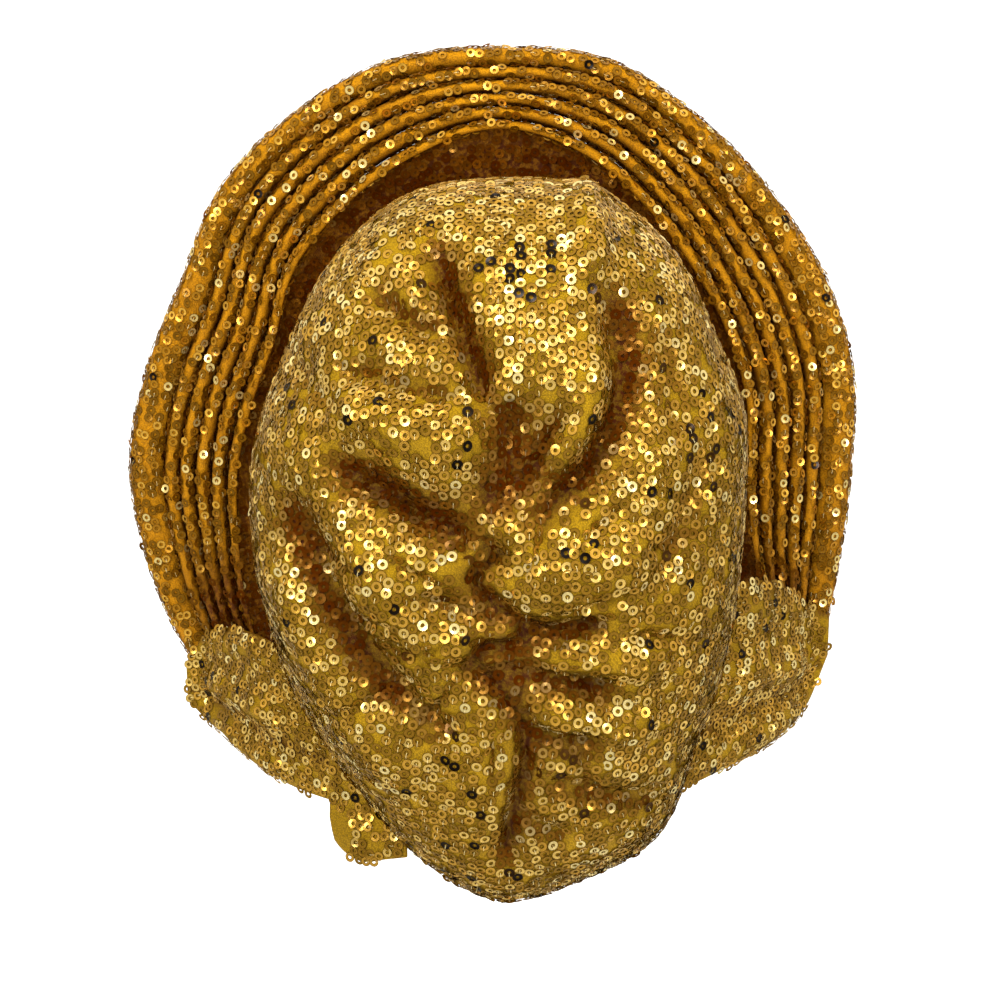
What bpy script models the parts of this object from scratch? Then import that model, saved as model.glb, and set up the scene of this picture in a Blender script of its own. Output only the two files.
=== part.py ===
"""A ready-made head tie of sequin cloth, in the form that it has when worn.

A fan brim of rolled pleats stands round a loose cap that is gathered along a crooked seam down its
back. Soft wraps run from the brim's lower ends round the sides and go in under the cap, and one short
end of cloth hangs below it.

World units are metres and +Z is up. The wearer faces -Y, so the gathered back faces +Y and +X is the
wearer's left. The origin is the middle of the opening that the head goes into, at the level of the
lower hem. The tables and the functions below are in millimetres, and MM turns them into metres.
"""

import bpy
import bmesh
from collections import namedtuple
from math import asin, atan2, ceil, cos, degrees, exp, floor, hypot, pi, radians, sin, sqrt, tanh
from mathutils import Vector

MM = 0.001
COLLECTION = "sequin_turban_cap"

# Thickness of the cloth: the cap is lined, the pleats are a single folded layer.
CROWN_WALL = 2.0
PLEAT_WALL = 1.2
WRAP_WALL = 2.0
TAIL_WALL = 1.5
SEAM_GAP = 0.3

# The cap, seen from behind, is drawn round this height on its middle line. Angles turn from straight up
# towards the wearer's left.
CROWN_CENTRE_Z = 130.0
CROWN_BACK_Y = 112.0
CROWN_FRONT_Y = -92.0
CROWN_FULLNESS = 2.35
CROWN_ROUNDING = 0.4
CROWN_STEPS = 36
CROWN_BACK_SHARE = 0.85
CROWN_CROWDING = 1.15

CrownRow = namedtuple("CrownRow", "angle radius")
CROWN_OUTLINE = (
    CrownRow(0, 175), CrownRow(15, 173), CrownRow(30, 159), CrownRow(45, 141),
    CrownRow(60, 131), CrownRow(75, 123), CrownRow(90, 117), CrownRow(105, 115),
    CrownRow(120, 118), CrownRow(135, 123), CrownRow(150, 132), CrownRow(165, 149),
    CrownRow(180, 164), CrownRow(195, 160), CrownRow(210, 155), CrownRow(225, 133),
    CrownRow(240, 122), CrownRow(255, 116), CrownRow(270, 115), CrownRow(285, 121),
    CrownRow(300, 134), CrownRow(315, 145), CrownRow(330, 164), CrownRow(345, 176),
)

# How far forward the cap is widest, and how much its edge draws in, by the angle from straight up.
SideRow = namedtuple("SideRow", "angle widest_y edge_share")
CROWN_SIDES = (
    SideRow(0, -15, 0.93), SideRow(30, -10, 0.94), SideRow(60, 5, 0.95),
    SideRow(90, 15, 0.95), SideRow(120, 18, 0.96), SideRow(140, 25, 0.96),
    SideRow(160, 38, 0.94), SideRow(180, 48, 0.88),
)

# The folds of the cap, each along a curve with two ends and a middle, in x and z as seen from behind.
# A positive depth is a valley and a negative one a ridge.
Fold = namedtuple("Fold", "name x0 z0 x1 z1 x2 z2 half_width depth")
CROWN_FOLDS = (
    Fold("top groove", 31, 286, 14, 248, 0, 202, 12, 16),
    Fold("middle hollow", 0, 216, -8, 190, 8, 152, 13, 11),
    Fold("arch valley", -38, 266, -80, 204, 0, 152, 13, 13),
    Fold("left valley", 78, 188, 40, 176, 4, 148, 12, 13),
    Fold("left ridge", 78, 206, 38, 199, 4, 184, 12, -5),
    Fold("long left valley", 94, 178, 64, 100, 20, 62, 14, 13),
    Fold("outer left ridge", 104, 150, 86, 70, 20, 0, 15, -5),
    Fold("inner left ridge", 62, 152, 34, 112, 12, 80, 12, -6),
    Fold("right patch", -8, 113, -30, 108, -60, 120, 12, 10),
    Fold("right lobe", -8, 140, -40, 134, -84, 162, 15, -6),
    Fold("right second valley", 10, 96, -24, 84, -76, 80, 12, 9),
    Fold("right third valley", -11, 64, -32, 53, -66, 58, 11, 7),
    Fold("right fourth valley", -12, 40, -44, 26, -84, 26, 11, 8),
    Fold("right soft valley", -94, 204, -88, 160, -64, 124, 13, 4),
    Fold("right corner ridge", -40, 310, -40, 284, -42, 252, 11, -6),
)

# The gathered seam down the centre back, from top to bottom.
SeamRow = namedtuple("SeamRow", "x z")
CROWN_SEAM = (
    SeamRow(10, 156), SeamRow(8, 131), SeamRow(-9, 113), SeamRow(10, 99), SeamRow(-10, 70),
    SeamRow(-10, 40), SeamRow(-2, 2),
)
SEAM_HALF_WIDTH = 10.0
SEAM_DEPTH = 11.0
DEEPEST_FOLD = 17.0
FOLD_STEPS = 10
FOLD_FADE = 0.25

# The brim is drawn round a centre of its own. One row gives its outer radius, the width of its rim and
# the width of one pleat, for each angle from straight up, to the wearer's left where positive.
BRIM_CENTRE_Z = 150.0
BrimRow = namedtuple("BrimRow", "angle radius rim_width pleat_width")
BRIM = (
    BrimRow(-125, 210, 15, 5.6), BrimRow(-116, 207, 17, 6.8), BrimRow(-105, 199, 19, 8.2),
    BrimRow(-90, 196, 20, 9.2), BrimRow(-75, 201, 20, 9.4), BrimRow(-60, 204, 19, 9.4),
    BrimRow(-45, 207, 16, 9.3), BrimRow(-30, 214, 13, 9.1), BrimRow(-15, 223, 11, 8.5),
    BrimRow(0, 222, 10, 6.9), BrimRow(15, 223, 11, 8.6), BrimRow(30, 218, 13, 9.2),
    BrimRow(45, 212, 16, 9.3), BrimRow(60, 200, 19, 9.1), BrimRow(75, 201, 20, 9.3),
    BrimRow(90, 206, 21, 9.3), BrimRow(105, 207, 20, 8.5), BrimRow(122, 210, 17, 6.8),
    BrimRow(131, 212, 15, 5.6),
)

# The six folds of the brim from the outside in: where each crest and foot lies in depth, and the angles
# at which it ends on the wearer's right and left.
PleatRow = namedtuple("PleatRow", "node crest_y foot_y right_end left_end")
PLEATS = (
    PleatRow("brim_rim", -98, -109, -119, 126),
    PleatRow("brim_pleat_1", -93, -104, -121, 128),
    PleatRow("brim_pleat_2", -89, -100, -122, 130),
    PleatRow("brim_pleat_3", -85, -97, -123, 131),
    PleatRow("brim_pleat_4", -81, -94, -124, 131),
    PleatRow("brim_pleat_5", -77, -92, -124, 131),
)
SEWN_TO = 124.0
SEWN_FADE = 6.0

# A fold's section, from its outer foot to its inner one: how far across it and how high each corner is.
SectionRow = namedtuple("SectionRow", "across height")
PLEAT_SECTION = (
    SectionRow(0.0, 0.0), SectionRow(0.14, 0.64), SectionRow(0.36, 1.0),
    SectionRow(0.64, 1.0), SectionRow(0.86, 0.64), SectionRow(1.0, 0.0),
)
RIM_SECTION = (
    SectionRow(0.1, -1.2), SectionRow(0.0, -0.5), SectionRow(0.03, 0.25), SectionRow(0.22, 0.8),
    SectionRow(0.5, 1.0), SectionRow(0.82, 0.86), SectionRow(1.0, 0.46), SectionRow(1.0, -0.3),
)
STATION_STEP = 7.2
LEAST_STEP = 2.0

# The wraps, one row for each place along them from the brim's end to the back: how far from the middle
# it is, where its outer face lies in depth, and the heights of its hem and its top edge.
WrapRow = namedtuple("WrapRow", "x y hem_z top_z")
WRAP_LEFT = (
    WrapRow(177, -95.5, 14, 36), WrapRow(165, -90.5, 3, 54), WrapRow(152, -74, 0, 63),
    WrapRow(136, -48, -3, 69), WrapRow(116, -20, -4, 70), WrapRow(92, 6, -3, 66),
    WrapRow(68, 23, -2, 58), WrapRow(46, 31, 0, 50),
)
WRAP_RIGHT = (
    WrapRow(185, -97, 40, 63), WrapRow(174, -94, 12, 69), WrapRow(156, -72, 2, 86),
    WrapRow(138, -46, 1, 97), WrapRow(116, -20, 1, 98), WrapRow(92, 6, 1, 74),
    WrapRow(68, 23, 0, 62), WrapRow(46, 31, 2, 52),
)
WRAP_BULGE = 7.0
WRAP_FOLD_DEPTH = 2.0
WRAP_FOLDS = 2.5
WRAP_LONG_STEPS = 14
WRAP_HIGH_STEPS = 7
HEM_CLEARANCE = 3.2

# The hanging end: its two upright sides and the height of its ragged lower edge between them.
TailRow = namedtuple("TailRow", "x low_z")
TAIL = (
    TailRow(86, -10), TailRow(83, -21), TailRow(70, -28), TailRow(58, -25), TailRow(46, -22),
)
TAIL_TOP_Z = 34.0
TAIL_SWING = 5.0
TAIL_GAP = 0.5
TAIL_LONG_STEPS = 4
TAIL_HIGH_STEPS = 5

# Colours as linear red, green and blue, with metallic value and roughness.
Finish = namedtuple("Finish", "name colour metallic roughness")
LIT_SEQUINS = Finish("gold_sequin_cloth", (0.52, 0.33, 0.05, 1.0), 0.7, 0.35)
PLEAT_SEQUINS = Finish("pleated_sequin_cloth", (0.46, 0.28, 0.03, 1.0), 0.7, 0.4)
RIM_SEQUINS = Finish("rim_sequin_cloth", (0.44, 0.29, 0.08, 1.0), 0.7, 0.4)
WRAP_SEQUINS = Finish("wrap_sequin_cloth", (0.5, 0.34, 0.06, 1.0), 0.7, 0.38)
BARE_CLOTH = Finish("mustard_knit_cloth", (0.45, 0.3, 0.02, 1.0), 0.0, 0.8)


def smooth_value(rows, key, column, at):
    """A column's value at a place between two rows, on a curve that passes through every row."""
    places = [getattr(row, key) for row in rows]
    values = [getattr(row, column) for row in rows]
    if places[0] > places[-1]:
        places.reverse()
        values.reverse()
    last = len(places) - 1
    at = min(max(at, places[0]), places[last])
    left = max(i for i in range(last) if places[i] <= at)
    span = places[left + 1] - places[left]

    def slope(i):
        before, after = max(i - 1, 0), min(i + 1, last)
        return (values[after] - values[before]) / (places[after] - places[before])

    t = (at - places[left]) / span
    return (
        values[left] * (1 + 2 * t) * (1 - t) ** 2
        + values[left + 1] * t * t * (3 - 2 * t)
        + slope(left) * span * t * (1 - t) ** 2
        - slope(left + 1) * span * t * t * (1 - t)
    )


def round_value(rows, column, angle):
    """As smooth_value, for a table that goes all the way round."""
    first, last = rows[0], rows[-1]
    closed = (
        last._replace(angle=last.angle - 360),
        *rows,
        first._replace(angle=first.angle + 360),
        rows[1]._replace(angle=rows[1].angle + 360),
    )
    return smooth_value(closed, "angle", column, angle % 360)


def eased(t):
    """0 up to 0, 1 from 1 on, and smooth between."""
    t = min(max(t, 0.0), 1.0)
    return t * t * (3 - 2 * t)


def bezier_points(fold):
    """Points along a fold's curve."""
    points = []
    for i in range(FOLD_STEPS + 1):
        t = i / FOLD_STEPS
        a, b, c = (1 - t) ** 2, 2 * t * (1 - t), t * t
        x = a * fold.x0 + b * fold.x1 + c * fold.x2
        z = a * fold.z0 + b * fold.z1 + c * fold.z2
        points.append((x, z))
    return points


def nearest(points, x, z):
    """Distance from a chain of points, and how far along it, from 0 to 1, the nearest place is."""
    best, along = 1e9, 0.0
    pieces = len(points) - 1
    for i in range(pieces):
        (ax, az), (bx, bz) = points[i], points[i + 1]
        dx, dz = bx - ax, bz - az
        t = ((x - ax) * dx + (z - az) * dz) / (dx * dx + dz * dz)
        t = min(max(t, 0.0), 1.0)
        distance = hypot(x - ax - t * dx, z - az - t * dz)
        if distance < best:
            best, along = distance, (i + t) / pieces
    return best, along


FOLD_LINES = [(fold, bezier_points(fold)) for fold in CROWN_FOLDS]
SEAM_LINE = [(row.x, row.z) for row in CROWN_SEAM]


def fold_depth(x, z):
    """How far the folds and the seam draw the cap's back in at a place seen from behind."""
    depth = 0.0
    for fold, line in FOLD_LINES:
        distance, along = nearest(line, x, z)
        fade = eased(along / FOLD_FADE) * eased((1 - along) / FOLD_FADE)
        depth += fold.depth * fade * exp(-((distance / fold.half_width) ** 2))
    distance, along = nearest(SEAM_LINE, x, z)
    depth += SEAM_DEPTH * eased(along / 0.1) * exp(-((distance / SEAM_HALF_WIDTH) ** 2))
    return DEEPEST_FOLD * tanh(depth / DEEPEST_FOLD)


def wrap_value(column, x):
    """A column of the wrap on the side that x is on."""
    return smooth_value(WRAP_LEFT if x > 0 else WRAP_RIGHT, "x", column, abs(x))


def crown_edge_y(x, z):
    """Depth of the cap's edge: at the brim above the wraps, and on the wraps' outer face below."""
    low = wrap_value("y", x) + HEM_CLEARANCE
    above = z - wrap_value("top_z", x) - 4
    return low + (CROWN_FRONT_Y - low) * eased(above / 16)


def crown_point(angle, deep):
    """A point on the cap's outer face. deep runs from 0 at the middle of the back, by 1 where the cap
    is widest, to 2 at its edge."""
    turn = radians(angle)
    from_top = abs((angle + 180) % 360 - 180)
    radius = round_value(CROWN_OUTLINE, "radius", angle)
    widest_y = smooth_value(CROWN_SIDES, "angle", "widest_y", from_top)
    edge_share = smooth_value(CROWN_SIDES, "angle", "edge_share", from_top)
    share = sin(min(deep, 1.0) * pi / 2)
    if deep <= 1:
        out = radius * share
        bulge = max(1 - share**CROWN_FULLNESS, 0.0) ** CROWN_ROUNDING
        y = widest_y + (CROWN_BACK_Y - widest_y) * bulge
    else:
        out = radius * (1 - (1 - edge_share) * (deep - 1) ** 2)
        edge_x = radius * edge_share * sin(turn)
        edge_z = CROWN_CENTRE_Z + radius * edge_share * cos(turn)
        y = widest_y + (crown_edge_y(edge_x, edge_z) - widest_y) * (deep - 1)
    x, z = out * sin(turn), CROWN_CENTRE_Z + out * cos(turn)
    inward = fold_depth(x, z) * eased((1.6 - deep) / 0.6)
    point = Vector((x, y, z))
    tilt = asin(share ** (CROWN_FULLNESS / 2))
    outward = Vector((sin(tilt) * sin(turn), cos(tilt), sin(tilt) * cos(turn)))
    return point - outward * inward


def cap_edge():
    """Angle and radius of the cap's front edge as the brim's centre sees it."""
    rows = []
    for step in range(-130, 131, 5):
        edge = crown_point(step, 2.0)
        up = edge.z - BRIM_CENTRE_Z
        rows.append((degrees(atan2(edge.x, up)), hypot(edge.x, up)))
    return sorted(rows)


CapEdge = namedtuple("CapEdge", "angle radius")
CAP_EDGE = tuple(CapEdge(*row) for row in cap_edge())


def pleat_point(index, angle, across, height):
    """A point on a brim fold: across it from its outer foot to its inner one, and height in its own
    depth. The last fold's inner leg runs on to the cap's front edge, where it is sewn."""
    row = PLEATS[index]
    outer = smooth_value(BRIM, "angle", "radius", angle)
    rim_width = smooth_value(BRIM, "angle", "rim_width", angle)
    width = smooth_value(BRIM, "angle", "pleat_width", angle)
    start = outer if index == 0 else outer - rim_width - (index - 1) * width
    span = (rim_width if index == 0 else width) - SEAM_GAP
    radius = start - span * across
    y = row.foot_y + (row.crest_y - row.foot_y) * height
    if index == len(PLEATS) - 1 and across == 1.0:
        sewn = 1 - eased((abs(angle) - SEWN_TO) / SEWN_FADE)
        cap_radius = smooth_value(CAP_EDGE, "angle", "radius", angle) + SEAM_GAP + PLEAT_WALL
        radius += (cap_radius - radius) * sewn
    turn = radians(angle)
    return Vector((radius * sin(turn), y, BRIM_CENTRE_Z + radius * cos(turn)))


def wrap_point(side, along, up):
    """A point on a wrap's outer face: along from the brim's end to the back, up from hem to top."""
    rows = WRAP_LEFT if side > 0 else WRAP_RIGHT
    x = rows[0].x + (rows[-1].x - rows[0].x) * along
    hem, top = (smooth_value(rows, "x", column, x) for column in ("hem_z", "top_z"))
    y = smooth_value(rows, "x", "y", x)
    loose = eased(along / 0.25) * eased((0.68 - along) / 0.3)
    out = loose * (WRAP_BULGE * sin(pi * up) + WRAP_FOLD_DEPTH * sin(2 * pi * WRAP_FOLDS * up))
    return Vector((side * (x + out * 0.7), y + out * 0.5 * (1 - along), hem + (top - hem) * up))


def tail_point(along, up):
    """A point on the hanging end's outer face."""
    x = TAIL[0].x + (TAIL[-1].x - TAIL[0].x) * along
    low = smooth_value(TAIL, "x", "low_z", x)
    z = low + (TAIL_TOP_Z - low) * up
    swing = TAIL_SWING * eased(-z / 20)
    y = smooth_value(WRAP_LEFT, "x", "y", x) + TAIL_GAP + TAIL_WALL + swing
    return Vector((x, y, z))


def finish_material(finish):
    """The material of one kind of cloth."""
    material = bpy.data.materials.get(finish.name) or bpy.data.materials.new(finish.name)
    material.use_nodes = True
    shader = material.node_tree.nodes["Principled BSDF"]
    shader.inputs["Base Color"].default_value = finish.colour
    shader.inputs["Metallic"].default_value = finish.metallic
    shader.inputs["Roughness"].default_value = finish.roughness
    material.diffuse_color = finish.colour
    return material


def cloth_piece(name, point_at, steps, wall, finish, collection):
    """A sheet of cloth: a grid whose corners are moved to point_at(u, v), with a wall put on inside."""
    sheet = bmesh.new()
    bmesh.ops.create_grid(sheet, x_segments=steps[0], y_segments=steps[1], size=1.0)
    for vert in sheet.verts:
        vert.co = point_at((vert.co.x + 1) / 2, (vert.co.y + 1) / 2) * MM
    bmesh.ops.remove_doubles(sheet, verts=sheet.verts, dist=0.01 * MM)
    mesh = bpy.data.meshes.new(name)
    sheet.to_mesh(mesh)
    sheet.free()
    mesh.shade_smooth()
    mesh.materials.append(finish_material(finish))
    piece = bpy.data.objects.new(name, mesh)
    collection.objects.link(piece)
    thickness = piece.modifiers.new("wall", "SOLIDIFY")
    thickness.thickness = wall * MM
    thickness.offset = -1.0
    return piece


def build_crown(collection):
    def point_at(u, v):
        """The square of the grid drawn out to a disc, whose middle is the back of the cap."""
        a, b = 1 - 2 * u, 2 * v - 1
        across, up = a * sqrt(1 - b * b / 2), b * sqrt(1 - a * a / 2)
        out = hypot(across, up)
        if out < CROWN_BACK_SHARE:
            deep = (out / CROWN_BACK_SHARE) ** CROWN_CROWDING
        else:
            deep = 1 + (out - CROWN_BACK_SHARE) / (1 - CROWN_BACK_SHARE)
        return crown_point(degrees(atan2(across, up)), min(deep, 2.0))

    steps = (CROWN_STEPS, CROWN_STEPS)
    return cloth_piece("crown", point_at, steps, CROWN_WALL, LIT_SEQUINS, collection)


def stations(row):
    """The angles of a fold's sections: its own two ends, and between them angles that all share."""
    first = ceil((row.right_end + LEAST_STEP) / STATION_STEP)
    last = floor((row.left_end - LEAST_STEP) / STATION_STEP)
    shared = [STATION_STEP * i for i in range(first, last + 1)]
    return [row.right_end, *shared, row.left_end]


def build_pleat(index, collection):
    row = PLEATS[index]
    section = RIM_SECTION if index == 0 else PLEAT_SECTION
    finish = RIM_SEQUINS if index == 0 else PLEAT_SEQUINS
    angles = stations(row)
    steps = (len(angles) - 1, len(section) - 1)

    def point_at(u, v):
        corner = section[round(v * steps[1])]
        angle = angles[round(u * steps[0])]
        return pleat_point(index, angle, corner.across, corner.height)

    return cloth_piece(row.node, point_at, steps, PLEAT_WALL, finish, collection)


def build_wrap(name, side, collection):
    def point_at(u, v):
        return wrap_point(side, u if side > 0 else 1 - u, v)

    steps = (WRAP_LONG_STEPS, WRAP_HIGH_STEPS)
    return cloth_piece(name, point_at, steps, WRAP_WALL, WRAP_SEQUINS, collection)


def build_tail(collection):
    steps = (TAIL_LONG_STEPS, TAIL_HIGH_STEPS)
    return cloth_piece("tie_tail", tail_point, steps, TAIL_WALL, BARE_CLOTH, collection)


def clear_scene():
    for old in list(bpy.data.objects):
        bpy.data.objects.remove(old, do_unlink=True)


def main():
    clear_scene()
    collection = bpy.data.collections.new(COLLECTION)
    bpy.context.scene.collection.children.link(collection)
    build_crown(collection)
    for index in range(len(PLEATS)):
        build_pleat(index, collection)
    build_wrap("side_wrap_left", 1, collection)
    build_wrap("side_wrap_right", -1, collection)
    build_tail(collection)


main()
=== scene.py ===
# %% [markdown]
# # A ready-made head tie of sequin cloth
# The real thing is a mustard knit cloth sewn all over with flat ring sequins, folded into a fan brim and
# gathered into a loose cap. The frame holds its solids; this lesson gives them their cloth, their
# thousands of sequins and their light.

# %% The frame
from math import cos, pi, radians, sin, tan

import bmesh
import bpy
import numpy as np
from mathutils import Matrix, Vector
from mathutils.bvhtree import BVHTree
from mathutils.kdtree import KDTree
from numpy.linalg import norm


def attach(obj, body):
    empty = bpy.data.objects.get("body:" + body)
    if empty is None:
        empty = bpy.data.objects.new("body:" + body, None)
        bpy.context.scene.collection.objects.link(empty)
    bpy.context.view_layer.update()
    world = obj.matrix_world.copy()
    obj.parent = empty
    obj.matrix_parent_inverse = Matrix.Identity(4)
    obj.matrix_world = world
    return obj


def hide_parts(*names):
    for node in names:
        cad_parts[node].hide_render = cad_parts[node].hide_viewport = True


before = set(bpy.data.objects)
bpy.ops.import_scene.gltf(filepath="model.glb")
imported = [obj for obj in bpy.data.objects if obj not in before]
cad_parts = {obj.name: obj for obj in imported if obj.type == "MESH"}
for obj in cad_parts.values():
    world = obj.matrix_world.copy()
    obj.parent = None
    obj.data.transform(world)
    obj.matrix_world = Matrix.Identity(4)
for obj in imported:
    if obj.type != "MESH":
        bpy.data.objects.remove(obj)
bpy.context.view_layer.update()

MM = 0.001
chance = np.random.default_rng(5)
print("nodes", sorted(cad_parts))


def in_scene(name, data):
    thing = bpy.data.objects.new(name, data)
    bpy.context.scene.collection.objects.link(thing)
    return thing


# %% [markdown]
# ## The camera
# The picture was taken from behind, a little above, and from less than a metre away, which is why the
# sequins of the cap look a third larger than those of the brim. A camera with the same distance and the
# same angle of view gives the same perspective.

# %% Camera
VIEW_ANGLE = radians(33.5)
VIEW_DISTANCE = 0.82
VIEW_ELEVATION = radians(12)
LOOKED_AT = Vector((0, 0, 0.15))
SENSOR_WIDTH = 36.0

camera_data = bpy.data.cameras.new("camera")
camera_data.sensor_width = SENSOR_WIDTH
camera_data.lens = SENSOR_WIDTH / 2 / tan(VIEW_ANGLE / 2)
camera = in_scene("camera", camera_data)
backwards = Vector((0, cos(VIEW_ELEVATION), sin(VIEW_ELEVATION)))
camera.location = LOOKED_AT + backwards * VIEW_DISTANCE
camera.rotation_euler = (-backwards).to_track_quat("-Z", "Y").to_euler()
bpy.context.scene.camera = camera
print("camera at", [round(x, 3) for x in camera.location], "lens", round(camera_data.lens, 1))

# %% [markdown]
# ## Smooth curves through short tables
# Every form below is a table with a row for each place that matters and a curve through its rows. The
# tables are in millimetres and degrees, as a pattern maker would note them.

# %% Tables and the curves through them
def table(columns, *rows):
    return np.array(list(rows), dtype=[(name, float) for name in columns.split()])


def smooth_way(t, start, end, start_slope, end_slope):
    """The way from start to end as t goes from 0 to 1, with these slopes at its ends."""
    return (
        start * (1 + 2 * t) * (1 - t) ** 2
        + end * t * t * (3 - 2 * t)
        + start_slope * t * (1 - t) ** 2
        - end_slope * t * t * (1 - t)
    )


def on_curve(rows, key, column, at):
    """The column's values at the places given, on a curve through every row."""
    x, y = rows[key], rows[column]
    slope = np.empty(len(x))
    slope[1:-1] = (y[2:] - y[:-2]) / (x[2:] - x[:-2])
    slope[0] = (y[1] - y[0]) / (x[1] - x[0])
    slope[-1] = (y[-1] - y[-2]) / (x[-1] - x[-2])
    at = np.clip(at, x[0], x[-1])
    i = np.clip(np.searchsorted(x, at, side="right") - 1, 0, len(x) - 2)
    span = x[i + 1] - x[i]
    return smooth_way((at - x[i]) / span, y[i], y[i + 1], slope[i] * span, slope[i + 1] * span)


def eased(t):
    t = np.clip(t, 0.0, 1.0)
    return t * t * (3 - 2 * t)


def all_round(rows):
    """The same table with its last row also before the first, and its first two after the last."""
    before, after = rows[-1:].copy(), rows[:2].copy()
    before["angle"] -= 360
    after["angle"] += 360
    return np.concatenate([before, rows, after])


# %% [markdown]
# ## The cap's form
# The cap is a bag drawn round a middle line: its outline from behind, how far forward it is widest, and
# the folds that the gathered seam throws out to both sides. Each fold is a short bent line with a width
# and a depth, and the cloth sinks or rises along it like a soft wave. Between them lie small creases,
# one made-up pattern of waves that run in to the middle of the seam.

# %% Outline and folds of the cap
CAP_MIDDLE_Z = 130.0
CAP_BACK_Y = 112.0
CAP_FRONT_Y = -92.0
CAP_FULLNESS = 2.35
CAP_ROUNDING = 0.4

CAP_OUTLINE = all_round(table(
    "angle radius",
    (0, 175), (15, 173), (30, 159), (45, 141), (60, 131), (75, 123), (90, 117), (105, 115),
    (120, 118), (135, 123), (150, 132), (165, 149), (180, 164), (195, 160), (210, 155), (225, 133),
    (240, 122), (255, 116), (270, 115), (285, 121), (300, 134), (315, 145), (330, 164), (345, 176),
))
CAP_SIDES = table(
    "angle widest_y edge_share",
    (0, -15, 0.93), (30, -10, 0.94), (60, 5, 0.95), (90, 15, 0.95),
    (120, 18, 0.96), (140, 25, 0.96), (160, 38, 0.94), (180, 48, 0.88),
)
CAP_FOLDS = table(
    "x0 z0 x1 z1 x2 z2 half_width depth",
    (32, 287, 17, 250, 2, 205, 6, 19),
    (-2, 220, -10, 196, 6, 156, 11, 15),
    (-38, 272, -86, 216, -2, 152, 8, 18),
    (-43, 240, -40, 205, -22, 182, 9, -6),
    (-30, 214, -20, 194, 0, 165, 5, 6),
    (82, 188, 44, 174, 4, 149, 9, 18),
    (80, 210, 40, 203, 6, 190, 12, -7),
    (78, 228, 45, 222, 13, 212, 7, 8),
    (62, 262, 44, 250, 22, 240, 7, 9),
    (97, 184, 86, 112, 36, 72, 9, 17),
    (52, 92, 36, 70, 16, 62, 8, 8),
    (100, 150, 88, 88, 30, 20, 12, -6),
    (70, 156, 42, 116, 16, 86, 12, -6),
    (42, 132, 20, 125, -6, 114, 6, 8),
    (58, 112, 34, 96, 12, 98, 6, 6),
    (-8, 114, -28, 110, -52, 119, 6, 15),
    (-8, 138, -36, 134, -72, 154, 14, -6),
    (12, 99, -22, 88, -60, 84, 8, 13),
    (-16, 102, -46, 97, -78, 97, 8, -5),
    (-11, 66, -30, 57, -52, 62, 7, 10),
    (-14, 77, -42, 71, -75, 63, 8, -5),
    (-13, 44, -44, 28, -82, 24, 7, 9),
    (-8, 24, -20, 15, -34, 9, 6, 7),
    (-92, 202, -87, 160, -64, 124, 9, 5),
    (-72, 252, -80, 220, -76, 190, 9, 4),
    (-40, 308, -40, 284, -41, 258, 8, -6),
    (96, 230, 84, 214, 70, 206, 12, 4),
)
CREASE_SHARPNESS = 1.25
CAP_SEAM = table(
    "x z",
    (12, 161), (2, 148), (12, 137), (8, 131), (-10, 116), (-10, 108), (8, 105),
    (13, 97), (-2, 81), (-11, 66), (-12, 50), (-8, 30), (-2, 2),
)
SEAM_HALF_WIDTH = 5.0
SEAM_DEPTH = 14.0
DEEPEST_FOLD = 24.0
FOLDS_END, FOLDS_FADE = 1.6, 0.6
GATHERED_X, GATHERED_Z = 0.0, 118.0
FINE_CREASES = table("count bend length", (13, 1.7, 17), (21, -1.3, 23))
FINE_CREASE_DEPTH = 5.0
FINE_FROM, FINE_IN, FINE_TO, FINE_OUT = 14.0, 26.0, 112.0, 40.0


def bent_line(fold, steps=10):
    t = np.linspace(0, 1, steps + 1)
    a, b, c = (1 - t) ** 2, 2 * t * (1 - t), t * t
    x = a * fold["x0"] + b * fold["x1"] + c * fold["x2"]
    z = a * fold["z0"] + b * fold["z1"] + c * fold["z2"]
    return x, z


def nearest_on(line_x, line_z, x, z):
    """Distance from a chain of points, and how far along it from 0 to 1 the nearest place is."""
    best, along = np.full(x.shape, 1e9), np.zeros(x.shape)
    pieces = len(line_x) - 1
    for i in range(pieces):
        dx, dz = line_x[i + 1] - line_x[i], line_z[i + 1] - line_z[i]
        t = ((x - line_x[i]) * dx + (z - line_z[i]) * dz) / (dx * dx + dz * dz)
        t = np.clip(t, 0, 1)
        distance = np.hypot(x - line_x[i] - t * dx, z - line_z[i] - t * dz)
        closer = distance < best
        best = np.where(closer, distance, best)
        along = np.where(closer, (i + t) / pieces, along)
    return best, along


def fine_creases(x, z):
    """Small creases that run in to the middle of the seam and meet unevenly."""
    dx, dz = x - GATHERED_X, z - GATHERED_Z
    away, turn = np.hypot(dx, dz), np.arctan2(dx, dz)
    waves = sum(
        np.sin(row["count"] * turn + row["bend"] * np.sin(away / row["length"])) for row in FINE_CREASES
    )
    fade = eased((away - FINE_FROM) / FINE_IN) * eased((FINE_TO - away) / FINE_OUT)
    return FINE_CREASE_DEPTH * fade * np.maximum(waves / len(FINE_CREASES), 0) ** 3


def cap_fold_depth(x, z):
    depth = fine_creases(x, z)
    for fold in CAP_FOLDS:
        distance, along = nearest_on(*bent_line(fold), x, z)
        fade = eased(along / 0.25) * eased((1 - along) / 0.25)
        sharpness = CREASE_SHARPNESS if fold["depth"] > 0 else 2
        depth += fold["depth"] * fade * np.exp(-((distance / fold["half_width"]) ** sharpness))
    distance, along = nearest_on(CAP_SEAM["x"], CAP_SEAM["z"], x, z)
    crease = np.exp(-((distance / SEAM_HALF_WIDTH) ** CREASE_SHARPNESS))
    depth += SEAM_DEPTH * eased(along / 0.08) * crease
    return DEEPEST_FOLD * np.tanh(depth / DEEPEST_FOLD)


# %% [markdown]
# ## Where the wraps lie
# The cap's lower edge rests on the wraps, so their line in plan comes first: a row for each place from
# the brim's end to the back.

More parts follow.
